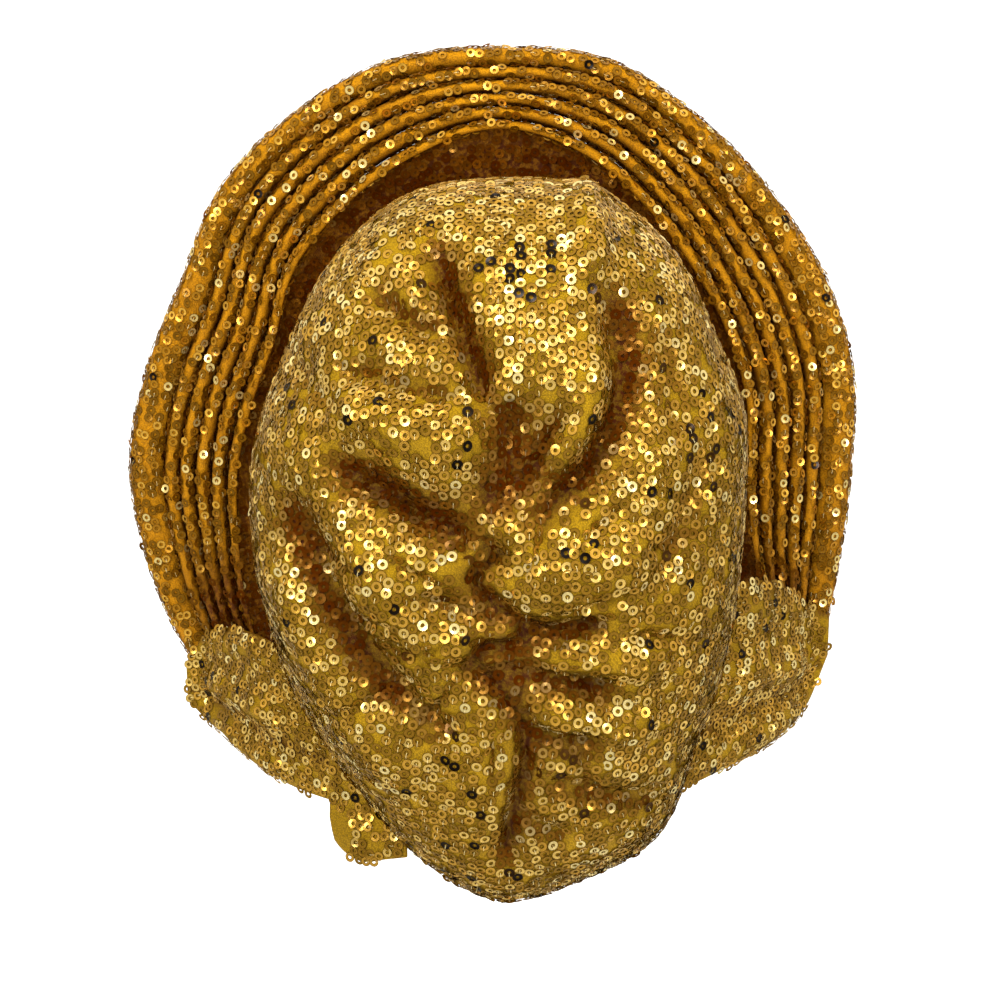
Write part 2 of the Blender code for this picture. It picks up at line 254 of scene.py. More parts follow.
# %% The wraps' line
WRAP_LEFT = table(
    "x y hem_z top_z",
    (46, 31, 0, 50), (68, 23, -2, 58), (92, 6, -3, 66), (116, -20, -4, 70),
    (136, -48, -3, 69), (152, -74, 0, 63), (165, -90.5, 3, 54), (177, -95.5, 14, 36),
)
WRAP_RIGHT = table(
    "x y hem_z top_z",
    (46, 31, 2, 52), (68, 23, 0, 62), (92, 6, 1, 74), (116, -20, 1, 98),
    (138, -46, 1, 97), (156, -72, 2, 86), (174, -94, 12, 69), (185, -97, 40, 63),
)
HEM_CLEARANCE = 3.2
EDGE_ABOVE_WRAP, EDGE_TURNS_OVER = 4.0, 16.0


def wrap_value(column, x):
    left = on_curve(WRAP_LEFT, "x", column, np.abs(x))
    return np.where(x > 0, left, on_curve(WRAP_RIGHT, "x", column, np.abs(x)))


def cap_edge_y(x, z):
    low = wrap_value("y", x) + HEM_CLEARANCE
    above = z - wrap_value("top_z", x) - EDGE_ABOVE_WRAP
    return low + (CAP_FRONT_Y - low) * eased(above / EDGE_TURNS_OVER)


def cap_point(angle, deep):
    """Points on the cap's outer face: deep is 0 at the middle of the back, 1 where it is widest and 2
    at its edge."""
    turn = np.radians(angle)
    from_top = np.abs((angle + 180) % 360 - 180)
    radius = on_curve(CAP_OUTLINE, "angle", "radius", angle % 360)
    widest_y = on_curve(CAP_SIDES, "angle", "widest_y", from_top)
    edge_share = on_curve(CAP_SIDES, "angle", "edge_share", from_top)
    share = np.sin(np.minimum(deep, 1.0) * pi / 2)
    past = np.clip(deep - 1, 0, 1)
    out = radius * share * (1 - (1 - edge_share) * past**2)
    bulge = np.clip(1 - share**CAP_FULLNESS, 0, 1) ** CAP_ROUNDING
    edge_x = radius * edge_share * np.sin(turn)
    edge_z = CAP_MIDDLE_Z + radius * edge_share * np.cos(turn)
    side_y = widest_y + (cap_edge_y(edge_x, edge_z) - widest_y) * past
    y = np.where(deep <= 1, widest_y + (CAP_BACK_Y - widest_y) * bulge, side_y)
    x, z = out * np.sin(turn), CAP_MIDDLE_Z + out * np.cos(turn)
    inward = cap_fold_depth(x, z) * eased((FOLDS_END - deep) / FOLDS_FADE)
    tilt = np.arcsin(share ** (CAP_FULLNESS / 2))
    outward = np.stack([np.sin(tilt) * np.sin(turn), np.cos(tilt), np.sin(tilt) * np.cos(turn)], -1)
    return np.stack([x, y, z], -1) - outward * inward[..., None]


# %% [markdown]
# ## Cloth from a grid
# A sheet of cloth starts as a flat grid, and each corner of it is moved to its place on the form. The sheet
# also keeps how much painted shade each corner gets: 0 on an open face, 1 at the bottom of a crease, where
# no light comes in. Solidify then gives the cloth its thickness on the inner side.

# %% A sheet of cloth
def cloth_sheet(name, steps, point_at, painted_shade_at, wall):
    sheet = bmesh.new()
    bmesh.ops.create_grid(sheet, x_segments=steps[0], y_segments=steps[1], size=1.0, calc_uvs=False)
    flat = np.array([vert.co[:2] for vert in sheet.verts])
    u, v = (flat[:, 0] + 1) / 2, (flat[:, 1] + 1) / 2
    for vert, place in zip(sheet.verts, point_at(u, v) * MM):
        vert.co = place
    mesh = bpy.data.meshes.new(name)
    sheet.to_mesh(mesh)
    sheet.free()
    mesh.shade_smooth()
    # Painted crease shade of each corner, which the materials read.
    hidden = mesh.attributes.new("hidden", "FLOAT", "POINT")
    hidden.data.foreach_set("value", painted_shade_at(u, v))
    piece = in_scene(name, mesh)
    thickness = piece.modifiers.new("wall", "SOLIDIFY")
    thickness.thickness = wall * MM
    thickness.offset = -1.0
    print(name, round(area_of(piece), 4), "m2")
    return piece


def area_of(piece):
    return sum(face.area for face in piece.data.polygons)


# %% [markdown]
# ## The cap's cloth
# The square grid is drawn out to a disc, so that its middle is the back of the cap and its border the cap's
# front edge. The deeper a fold, the more painted shade the cloth in it gets.

# %% The cap's cloth
CAP_STEPS = 190
CAP_BACK_SHARE = 0.78
CAP_WALL = 1.2
# Fold depth at which the painted crease shade is full.
PAINTED_SHADE_DEPTH = 13.0


def cap_cloth_point(u, v):
    """The square grid drawn out to a disc, whose middle is the back of the cap."""
    a, b = 1 - 2 * u, 2 * v - 1
    across, up = a * np.sqrt(1 - b * b / 2), b * np.sqrt(1 - a * a / 2)
    out = np.hypot(across, up)
    back = out / CAP_BACK_SHARE
    side = 1 + (out - CAP_BACK_SHARE) / (1 - CAP_BACK_SHARE)
    deep = np.minimum(np.where(back < 1, back, side), 2.0)
    return cap_point(np.degrees(np.arctan2(across, up)), deep)


def cap_painted_shade(places):
    """The painted shade of places on the cap, the more the deeper its folds are there."""
    return eased(cap_fold_depth(places[:, 0], places[:, 2]) / PAINTED_SHADE_DEPTH)


cap = cloth_sheet(
    "crown_cloth", (CAP_STEPS, CAP_STEPS), cap_cloth_point,
    lambda u, v: cap_painted_shade(cap_cloth_point(u, v)), CAP_WALL,
)

# %% [markdown]
# ## The brim's folds
# The brim is six long folds, one inside the other. Each is worked out from its crest and its two feet,
# and its section is a rounded tent. The innermost fold's inner leg runs on to the cap's front edge.

# %% Sections of the brim
BRIM_MIDDLE_Z = 150.0
SEAM_GAP = 0.06
PLEAT_WALL = 1.0
BRIM = table(
    "angle radius rim_width pleat_width",
    (-125, 210, 15, 5.6), (-116, 207, 17, 6.8), (-105, 199, 19, 8.2), (-90, 196, 20, 9.2),
    (-75, 201, 20, 9.4), (-60, 204, 19, 9.4), (-45, 207, 16, 9.3), (-30, 214, 13, 9.1),
    (-15, 223, 11, 8.5), (0, 222, 10, 6.9), (15, 223, 11, 8.6), (30, 218, 13, 9.2),
    (45, 212, 16, 9.3), (60, 200, 19, 9.1), (75, 201, 20, 9.3), (90, 206, 21, 9.3),
    (105, 207, 20, 8.5), (122, 210, 17, 6.8), (131, 212, 15, 5.6),
)
PLEATS = table(
    "crest_y foot_y right_end left_end",
    (-98, -109, -119, 126), (-93, -104, -121, 128), (-89, -100, -122, 130),
    (-85, -97, -123, 131), (-81, -94, -124, 131), (-77, -92, -124, 131),
)
PLEAT_SECTION = table(
    "across height",
    (0, -0.45), (0.06, 0.6), (0.32, 1.0), (0.68, 1.0), (0.93, 0.66), (1, 0),
)
RIM_SECTION = table(
    "across height",
    (0.1, -1.2), (0, -0.5), (0.03, 0.25), (0.22, 0.8), (0.5, 1), (0.82, 0.86), (1, 0.46), (1, -0.3),
)
SEWN_TO, SEWN_FADE = 124.0, 6.0
UNEVEN = 0.7

cap_edge = cap_point(np.arange(-130.0, 131.0, 2.0), np.full(131, 2.0))
edge_up = cap_edge[:, 2] - BRIM_MIDDLE_Z
CAP_EDGE = np.sort(
    np.array(
        list(zip(np.degrees(np.arctan2(cap_edge[:, 0], edge_up)), np.hypot(cap_edge[:, 0], edge_up))),
        dtype=[("angle", float), ("radius", float)],
    ),
    order="angle",
)


def wander(angle, index, size):
    """A slow, small unevenness along a fold, different for each one."""
    turn = np.radians(angle)
    waves = ((7, 1.3), (12, 2.1), (19, 4.0))
    return size * sum(np.sin(n * turn + phase * (index + 1)) for n, phase in waves) / len(waves)


def fold_corners(index, angle):
    """The corners of a fold's section at each angle, from its outer foot to its inner one."""
    row = PLEATS[index]
    section = RIM_SECTION if index == 0 else PLEAT_SECTION
    outer = on_curve(BRIM, "angle", "radius", angle)
    rim_width = on_curve(BRIM, "angle", "rim_width", angle)
    width = on_curve(BRIM, "angle", "pleat_width", angle)
    start = outer if index == 0 else outer - rim_width - (index - 1) * width
    span = (rim_width if index == 0 else width) - SEAM_GAP
    radius = start[:, None] - span[:, None] * section["across"]
    y = row["foot_y"] + (row["crest_y"] - row["foot_y"]) * section["height"]
    y = np.broadcast_to(y, radius.shape) + wander(angle, index, UNEVEN)[:, None] * section["height"]
    if index == len(PLEATS) - 1:
        sewn = 1 - eased((np.abs(angle) - SEWN_TO) / SEWN_FADE)
        cap_radius = on_curve(CAP_EDGE, "angle", "radius", angle) + SEAM_GAP + PLEAT_WALL
        radius[:, -1] += (cap_radius - radius[:, -1]) * sewn
    turn = np.radians(angle)[:, None]
    return np.stack([radius * np.sin(turn), y, BRIM_MIDDLE_Z + radius * np.cos(turn)], -1)


def brim_point(index, angle, across):
    """Points on a fold's outer face: across runs from 0 at its outer foot to 1 at its inner one."""
    corners = fold_corners(index, angle)
    last = corners.shape[1] - 1
    place = np.clip(across, 0, 1) * last
    i = np.clip(place.astype(int), 0, last - 1)
    t = (place - i)[:, None]
    rows = np.arange(len(angle))
    before, here = corners[rows, np.maximum(i - 1, 0)], corners[rows, i]
    there, after = corners[rows, i + 1], corners[rows, np.minimum(i + 2, last)]
    slope_here = (there - before) / (1 + (i > 0))[:, None]
    slope_there = (after - here) / (1 + (i < last - 1))[:, None]
    return smooth_way(t, here, there, slope_here, slope_there)


# %% [markdown]
# ## The brim's cloth
# The folds stand so close that only their crests are open: a table gives the painted shade across a fold,
# which turns the narrow gaps between the crests dark.

# %% The brim's cloth
FOLD_STEPS = (220, 20)
# Painted shade across a pleat: full in the narrow gaps at its feet, none on its crest.
PAINTED_SHADE_IN_PLEAT = table(
    "across hidden",
    (0, 1), (0.14, 1), (0.27, 0.6), (0.4, 0), (0.6, 0), (0.73, 0.6), (0.86, 1), (1, 1),
)
# Painted shade at the folds' lower ends, which go in between wrap and cap.
POCKET_FROM, POCKET_LENGTH = 101.0, 15.0
POCKET_SHADES = (0, 0.475, 0.95, 0.95, 0.95, 0.95)
# Painted shade across the rim, deepest at its inner foot.
PAINTED_SHADE_IN_RIM = table("across hidden", (0, 0), (0.7, 0), (0.84, 0.35), (0.93, 0.9), (1, 1))


def brim_painted_shade(index, across, angle):
    """Painted shade on a fold: by its section, and at the lower ends, which go in between wrap and cap."""
    section = on_curve(PAINTED_SHADE_IN_RIM if index == 0 else PAINTED_SHADE_IN_PLEAT, "across", "hidden", across)
    pocket = eased((np.abs(angle) - POCKET_FROM) / POCKET_LENGTH) * POCKET_SHADES[index]
    return np.maximum(section, pocket)


def fold_cloth(index):
    start, end = PLEATS["right_end"][index], PLEATS["left_end"][index]
    return cloth_sheet(
        "brim_rim_cloth" if index == 0 else f"brim_pleat_{index}_cloth", FOLD_STEPS,
        lambda u, v: brim_point(index, start + (end - start) * u, v),
        lambda u, v: brim_painted_shade(index, v, start + (end - start) * u), PLEAT_WALL,
    )


brim_cloth = [fold_cloth(index) for index in range(len(PLEATS))]

# %% [markdown]
# ## The wraps and the hanging end
# The wraps are soft bands: they bulge out between hem and top edge and carry two or three lengthwise
# folds. The hanging end is a short flap that comes out between the left wrap and the cap.

# %% Wraps and hanging end
WRAP_BULGE = 7.0
WRAP_FOLD_DEPTH = 4.4
WRAP_FOLDS = 2.5
WRAP_UPPER_CALM = 0.6
WRAP_GATHER, WRAP_GATHERS, WRAP_GATHER_SLANT = 1.2, 4.5, 0.6
WRAP_HELD_FROM, WRAP_LOOSE_TO, WRAP_LOOSE_FADE = 0.25, 0.68, 0.3
WRAP_OUT_ASIDE, WRAP_OUT_BACK = 0.7, 0.5
WRAP_WALL = 1.4
# Painted shade under the cap's edge and in the wraps' fold grooves.
UNDER_CAP_FROM, UNDER_CAP_FADE, UNDER_CAP_SHADE = 0.84, 0.16, 0.8
WRAP_GROOVE_SHADE = 0.85
TAIL = table("x low_z", (46, -22), (58, -25), (70, -28), (83, -21), (86, -10))
TAIL_TOP_Z = 34.0
TAIL_SWING = 5.0
TAIL_GAP = 0.5
TAIL_SOLID_WALL, TAIL_WALL = 1.5, 1.2
TAIL_BARE_FROM, TAIL_BARE_BELOW = 76.0, -6.0


def wrap_wave(up):
    """The folds across a wrap, from -1 to 1: the lowest groove is the deepest."""
    return np.sin(2 * pi * WRAP_FOLDS * up) * (1 - WRAP_UPPER_CALM * eased((up - 0.4) / 0.2))


def wrap_point(side, along, up):
    rows = WRAP_LEFT if side > 0 else WRAP_RIGHT
    x = rows["x"][-1] + (rows["x"][0] - rows["x"][-1]) * along
    hem, top, y = (on_curve(rows, "x", column, x) for column in ("hem_z", "top_z", "y"))
    loose = eased(along / WRAP_HELD_FROM) * eased((WRAP_LOOSE_TO - along) / WRAP_LOOSE_FADE)
    out = loose * (WRAP_BULGE * np.sin(pi * up) + WRAP_FOLD_DEPTH * wrap_wave(up))
    gather = np.sin(2 * pi * (WRAP_GATHERS * along + WRAP_GATHER_SLANT * up))
    out = out + loose * WRAP_GATHER * gather * np.sin(pi * up)
    back = out * WRAP_OUT_BACK * (1 - along)
    return np.stack([side * (x + out * WRAP_OUT_ASIDE), y + back, hem + (top - hem) * up], -1)


def tail_point(along, up):
    x = TAIL["x"][-1] + (TAIL["x"][0] - TAIL["x"][-1]) * along
    low = on_curve(TAIL, "x", "low_z", x)
    z = low + (TAIL_TOP_Z - low) * up
    y = on_curve(WRAP_LEFT, "x", "y", x) + TAIL_GAP + TAIL_SOLID_WALL + TAIL_SWING * eased(-z / 20)
    return np.stack([x, y, z], -1)


def wrap_painted_shade(along, up):
    """Painted shade: a wrap goes into the dark under the cap and lies in small shadows between its folds.
    """
    under_cap = eased((up - UNDER_CAP_FROM) / UNDER_CAP_FADE) * UNDER_CAP_SHADE
    return np.maximum(under_cap, np.maximum(-wrap_wave(up), 0) ** 2 * WRAP_GROOVE_SHADE)


wrap_left = cloth_sheet(
    "side_wrap_left_cloth", (120, 50), lambda u, v: wrap_point(1, u, v), wrap_painted_shade, WRAP_WALL,
)
wrap_right = cloth_sheet(
    "side_wrap_right_cloth", (120, 60), lambda u, v: wrap_point(-1, 1 - u, v), wrap_painted_shade, WRAP_WALL,
)
# The hanging end gets painted shade that deepens towards its top edge, where it comes out between wrap and
# cap.
tail = cloth_sheet(
    "tie_tail_cloth", (30, 40), tail_point, lambda u, v: eased((v - 0.4) / 0.5) * 0.7, TAIL_WALL,
)

# %% [markdown]
# ## One sequin
# A ring sequin is a disc of gold film 5 mm across with a hole in its middle, stamped very slightly
# hollow. Two circles bridged into a ring give it with a dozen faces, few enough to repeat by the
# thousand.

# %% One sequin and one stitch
SEQUIN_RADIUS = 2.55
HOLE_RADIUS = 0.85
SEQUIN_HOLLOW = 0.14
SEQUIN_SIDES = 12
THREAD_WIDTH = 0.16
THREAD_SHARE = 0.35
THREAD_BEND = table("along height", (0, -0.3), (0.9, 0.34), (2.2, 0.42), (2.8, -0.3))


def template(shape):
    """Corner places and faces of a small shape, for laying many times."""
    shape.verts.index_update()
    places = np.array([vert.co[:] for vert in shape.verts])
    faces = np.array([[vert.index for vert in face.verts] for face in shape.faces])
    shape.free()
    return places, faces


ring = bmesh.new()
for circle_radius, height in ((SEQUIN_RADIUS, SEQUIN_HOLLOW), (HOLE_RADIUS, 0)):
    place = Matrix.Translation((0, 0, height))
    bmesh.ops.create_circle(ring, segments=SEQUIN_SIDES, radius=circle_radius, matrix=place)
bmesh.ops.bridge_loops(ring, edges=ring.edges[:])
bmesh.ops.recalc_face_normals(ring, faces=ring.faces[:])
ring.normal_update()
if ring.faces[:][0].normal.z < 0:
    bmesh.ops.reverse_faces(ring, faces=ring.faces[:])
SEQUIN = template(ring)

stitch = bmesh.new()
bmesh.ops.create_grid(stitch, x_segments=len(THREAD_BEND) - 1, y_segments=1, size=0.5)
for vert in stitch.verts:
    station = round((vert.co.x + 0.5) * (len(THREAD_BEND) - 1))
    bend = THREAD_BEND[station]
    vert.co = Vector((bend["along"], vert.co.y * THREAD_WIDTH, bend["height"]))
STITCH = template(stitch)
print("sequin faces", len(SEQUIN[1]), "stitch faces", len(STITCH[1]))

# %% [markdown]
# ## Rows of sequins
# The cloth comes with its sequins in rows, a little less than a sequin's width from one another, and every
# second row moved half a step. A row here is a chain of points on the cloth, spaced evenly along it.
# On the cap the next row is found by stepping sideways over the cloth, as the real rows lie side by side
# whatever the folds do. Each sequin leans a little its own way, which makes the cloth glitter.

# %% Even rows on the cloth
SEQUIN_SPACING = 4.8
ROW_SPACING = 4.5
SHINGLE = radians(5)
SEQUIN_LEAN = radians(4)
LOOSE_LEAN = radians(11)
LOOSE_SHARE = 0.25
SEQUIN_LIFT = 0.5
PLACE_WANDER = 0.45
MISSING_SHARE = 0.05
TINTED_SHARE = 0.985
MISSING_ON_BANDS = 0.14
LEAST_APART = 4.05
LEAST_APART_IN_PLEATS = 3.7
LEAST_APART_ON_BANDS = 4.2
LEAST_APART_IN_CROWD = 2.5
EDGE_REACH, WIDEST_GAP = 1.2, 4 * SEQUIN_SPACING
SHORTEST_CHAIN, SHORTEST_ROW = 4, 3
# Patches where more sequins get a painted dark reflection of the room.
DARK_REFLECTION_PATCHES = table(
    "x z radius share",
    (-14, 270, 13, 0.4), (68, 182, 12, 0.25), (12, 214, 7, 0.35), (-33, 150, 11, 0.3),
    (-88, 196, 12, 0.3), (-30, 180, 8, 0.25), (-20, 52, 14, 0.25), (20, 60, 9, 0.25),
)
BARE_PATCHES = table(
    "x z radius share", (50, 273, 9, 0.5), (28, 268, 7, 0.5), (-36, 168, 8, 0.5), (64, 100, 9, 0.4),
)


def even_chain(points, spacing, phase):
    """Points at equal steps along a chain, the first one phase of a step from its start."""
    steps = norm(np.diff(points, axis=0), axis=1)
    length = np.concatenate([[0], np.cumsum(steps)])
    at = np.arange(phase * spacing, length[-1], spacing)
    return np.stack([np.interp(at, length, points[:, k]) for k in range(3)], -1)


def unit(vectors):
    return vectors / np.maximum(norm(vectors, axis=1, keepdims=True), 1e-9)


def tangents(points):
    return unit(np.gradient(points, axis=0))


def outer_tree(piece):
    """A search tree of a sheet's outer face, in millimetres."""
    corners = [vert.co / MM for vert in piece.data.vertices]
    return BVHTree.FromPolygons(corners, [face.vertices[:] for face in piece.data.polygons])


def settle(tree, points):
    """The places on the cloth nearest to some points, the cloth's normals there, and how far past the
    cloth's edge each point was."""
    places, normals, past = [], [], []
    for point in points:
        place, normal, _, _ = tree.find_nearest(Vector(point))
        off = Vector(point) - place
        places.append(place)
        normals.append(normal)
        past.append((off - normal * off.dot(normal)).length)
    return np.array(places), np.array(normals), np.array(past)


def smoothed(points, times=2):
    for _ in range(times):
        points[1:-1] = points[1:-1] * 0.5 + (points[:-2] + points[2:]) * 0.25
    return points


def prolonged(points):
    """The chain with one more point at each end, straight on."""
    return np.concatenate([[2 * points[0] - points[1]], points, [2 * points[-1] - points[-2]]])


def rows_from(tree, start, side, most, apart):
    """Rows that lie beside the start row, each stepped sideways over the cloth from the one before.
    Their ends are prolonged as far as the cloth goes."""
    rows, chain = [], start
    for number in range(1, most + 1):
        places, normals, _ = settle(tree, chain)
        step = np.cross(normals, tangents(places)) * side * apart
        chain, _, past = settle(tree, prolonged(smoothed(places + step)))
        chain = chain[past < EDGE_REACH]
        gaps = norm(np.diff(chain, axis=0), axis=1)
        chain = max(np.split(chain, np.where(gaps > WIDEST_GAP)[0] + 1), key=len)
        if len(chain) < SHORTEST_CHAIN:
            break
        chain = even_chain(chain, SEQUIN_SPACING / 2, 0.0)
        rows.append(even_chain(chain, SEQUIN_SPACING, 0.5 * (number // 2 % 2)))
    return rows


def frames_on(tree, rows):
    """Place, normal and direction of each sequin of some rows, in nine columns."""
    laid = []
    for row in rows:
        if len(row) >= SHORTEST_ROW:
            places, normals, _ = settle(tree, row)
            laid.append(np.concatenate([places, normals, tangents(places)], 1))
    return np.concatenate(laid)


def kept_apart(laid, least):
    """The same sequins without those that would lie on one that is already there."""
    tree = KDTree(len(laid))
    for i, place in enumerate(laid[:, :3]):
        tree.insert(place, i)
    tree.balance()
    kept, least = np.ones(len(laid), bool), np.broadcast_to(least, len(laid))
    for i in range(len(laid)):
        if kept[i]:
            for _, j, _ in tree.find_range(laid[i, :3], least[i]):
                kept[j] &= j <= i
    return laid[kept]


def with_some_lost(laid):
    """The same sequins without the few that have come off."""
    lost = np.full(len(laid), MISSING_SHARE)
    for patch in BARE_PATCHES:
        near = np.hypot(laid[:, 0] - patch["x"], laid[:, 2] - patch["z"]) < patch["radius"]
        lost[near & (laid[:, 1] > 0)] = patch["share"]
    return laid[chance.random(len(laid)) > lost]


# %% [markdown]
# ## The cap's rows
# The first row runs down the middle of the back, and the others lie to its left and its right. Where folds
# push rows together some sequins would lie on others, so those are left out, as are the few that have
# come off. Round the border of the back the cloth is bunched: rows in between are added there, and the
# sequins may overlap.

# %% Rows of the cap
cap_tree = outer_tree(cap)
down_the_back = np.concatenate([
    cap_point(np.zeros(80), np.linspace(1.98, 0.0, 80)),
    cap_point(np.full(80, 180.0), np.linspace(0.02, 1.98, 80)),
])
first_row = even_chain(down_the_back, SEQUIN_SPACING / 2, 0.3)
CROWDED_FROM, CROWDED_FADE, CROWDED_TO_Y = 0.72, 0.2, -30.0
MOST_ROWS = 180


def crowding(laid):
    """From 0 to 1, how much the sequins lie over one another: most round the border of the cap's back."""
    x, y, z = laid[:, 0], laid[:, 1], laid[:, 2] - CAP_MIDDLE_Z
    radius = on_curve(CAP_OUTLINE, "angle", "radius", np.degrees(np.arctan2(x, z)) % 360)
    return eased((np.hypot(x, z) / radius - CROWDED_FROM) / CROWDED_FADE) * (y > CROWDED_TO_Y)


def half_cap(side):
    """The sequins of one half: its full rows, and rows between them where the cloth is bunched."""
    rows = rows_from(cap_tree, first_row, side, MOST_ROWS, ROW_SPACING / 2)
    full = [first_row[::2], *rows[1::2]] if side > 0 else rows[1::2]
    laid, between = frames_on(cap_tree, full), frames_on(cap_tree, rows[::2])
    between = between[chance.random(len(between)) < crowding(between)]
    laid = np.concatenate([laid, between])
    least = LEAST_APART + (LEAST_APART_IN_CROWD - LEAST_APART) * crowding(laid)
    return with_some_lost(kept_apart(laid, least))


cap_left, cap_right = half_cap(1), half_cap(-1)
print("sequins on the cap", len(cap_left), "and", len(cap_right))

# %% [markdown]
# ## The brim's rows
# Along a fold the rows are counted from its crest and drift slowly to one side and the other, because the
# pleats are not folded along the cloth's own rows.

# %% Rows of the brim, outside and inside
SECTION_STATIONS = 260
SECTION_STEPS = 41
ROW_DRIFT = 2.4
WIDEST_JUMP = 8.0
HOLLOW_LIFT = 1.3
FREE_ENDS, FREE_FEET = 0.8, 0.8
SHORTEST_RUN = 8
SHARE_STEP = 0.02


def fold_rows(index, flip):
    """Rows along one fold, counted from its crest, and the painted shade of each sequin. The inner face's
    rows are flipped; they lie a wall's thickness in, and a little more, since a flat ring spans a hollow."""
    row = PLEATS[index]
    angles = np.linspace(row["right_end"] + FREE_ENDS, row["left_end"] - FREE_ENDS, SECTION_STATIONS)
    shares = np.linspace(0, 1, SECTION_STEPS)
    sections = np.stack([brim_point(index, angles, np.full(len(angles), s)) for s in shares], 1)
    steps = norm(np.diff(sections, axis=1), axis=2)
    lengths = np.concatenate([np.zeros((len(angles), 1)), np.cumsum(steps, axis=1)], 1)
    crest = lengths[:, SECTION_STEPS // 2] + wander(angles, index + 7, ROW_DRIFT)
    across = int(2 * lengths.max() / ROW_SPACING) + 1
    laid, hidden = [], []
    for number in range(-across, across + 1):
        at = crest + (number + 0.5 * chance.random()) * ROW_SPACING / 2
        inside = (at > FREE_FEET) & (at < lengths[:, -1] - FREE_FEET)
        if inside.sum() < SHORTEST_RUN:
            continue
        share = np.array([np.interp(a, own, shares) for a, own in zip(at[inside], lengths[inside])])
        way = angles[inside]
        line = brim_point(index, way, share)
        beside = brim_point(index, way, np.minimum(share + SHARE_STEP, 1.0))
        before = brim_point(index, way, np.maximum(share - SHARE_STEP, 0.0))
        along = tangents(line)
        out = unit(np.cross(along, beside - before))
        if flip:
            line, out = line - out * (PLEAT_WALL + HOLLOW_LIFT), -out
        jumps = norm(np.diff(line, axis=0), axis=1)
        run = np.concatenate([[0], np.cumsum(jumps)])
        places = np.arange(chance.random() * SEQUIN_SPACING, run[-1], SEQUIN_SPACING)
        places = places[jumps[np.searchsorted(run, places, side="right") - 1] < WIDEST_JUMP]
        values = np.concatenate([line, out, along], 1)
        laid.append(np.stack([np.interp(places, run, values[:, k]) for k in range(9)], -1))
        deep = np.zeros(len(line)) if flip else brim_painted_shade(index, share, way)
        hidden.append(np.interp(places, run, deep))
    laid = np.concatenate([np.concatenate(laid), np.concatenate(hidden)[:, None]], 1)
    laid = kept_apart(chance.permutation(laid), LEAST_APART_IN_PLEATS)
    return laid[chance.random(len(laid)) > MISSING_SHARE]


brim_bands = [
    np.concatenate([fold_rows(index, False), fold_rows(index, True)]) for index in range(len(PLEATS))
]
print("sequins on the brim", [len(rows) for rows in brim_bands])

# %% [markdown]
# ## Rows of the wraps and the hanging end
# A band's first row runs along its middle, and the others follow it up and down to its edges.

# %% Rows of the wraps and the hanging end
MOST_BAND_ROWS = 20


def band_rows(piece, middle):
    tree = outer_tree(piece)
    start = even_chain(middle, SEQUIN_SPACING / 2, 0.2)
    rows = [start[::2]]
    for side in (1, -1):
        rows += rows_from(tree, start, side, MOST_BAND_ROWS, ROW_SPACING)
    laid = kept_apart(frames_on(tree, rows), LEAST_APART_ON_BANDS)
    return laid[chance.random(len(laid)) > MISSING_ON_BANDS]


halfway = np.full(100, 0.5)
along_band = np.linspace(0.01, 0.99, 100)
left_band = band_rows(wrap_left, wrap_point(1, along_band, halfway))
right_band = band_rows(wrap_right, wrap_point(-1, along_band, halfway))
tail_band = band_rows(tail, tail_point(along_band, halfway))
tail_band = tail_band[(tail_band[:, 0] < TAIL_BARE_FROM) | (tail_band[:, 2] > TAIL_BARE_BELOW)]
print("sequins on the wraps and the end", len(left_band), len(right_band), len(tail_band))

# %% [markdown]
# ## Laying the sequins
# The sequins of a sheet become one mesh: the ring is turned to every place's frame at once with arrays, and
# the copies are joined. Attributes keep each sequin's painted shade, one random number for each, which
# picks its shade of film and painted reflection, and how near to an edge of the ring a corner is, for a
# painted shadow ring.

# %% Joined copies
MOST_LEAN, MOST_LIFTED = 0.45, 0.5
LIFT_WANDER = 0.35


def leaning_frames(laid):
    """A turned set of axes for each place, with every sequin leaning its own way."""
    places, normals, along = laid[:, 0:3], laid[:, 3:6], laid[:, 6:9]
    along = unit(along - normals * (along * normals).sum(1, keepdims=True))
    aside = np.cross(normals, along)
    count = len(places)
    lean = np.where(chance.random(count) < LOOSE_SHARE, LOOSE_LEAN, SEQUIN_LEAN)
    a = np.tan(np.clip(SHINGLE + lean * chance.normal(size=count), -MOST_LEAN, MOST_LIFTED))[:, None]
    b = np.tan(np.clip(lean * chance.normal(size=count), -MOST_LEAN, MOST_LEAN))[:, None]
    up = unit(normals + along * a + aside * b)
    along = unit(along - up * (along * up).sum(1, keepdims=True))
    return np.stack([along, np.cross(up, along), up], 1)


def tints_at(places):
    """A random number from 0 to 1 for each place, the highest ones for the sequins with a painted dark
    reflection.
    """
    tints = chance.random(len(places)) * TINTED_SHARE
    for patch in DARK_REFLECTION_PATCHES:
        near = np.hypot(places[:, 0] - patch["x"], places[:, 2] - patch["z"]) < patch["radius"]
        dark = near & (places[:, 1] > 0) & (chance.random(len(places)) < patch["share"])
        tints[dark] = 1.0
    return tints


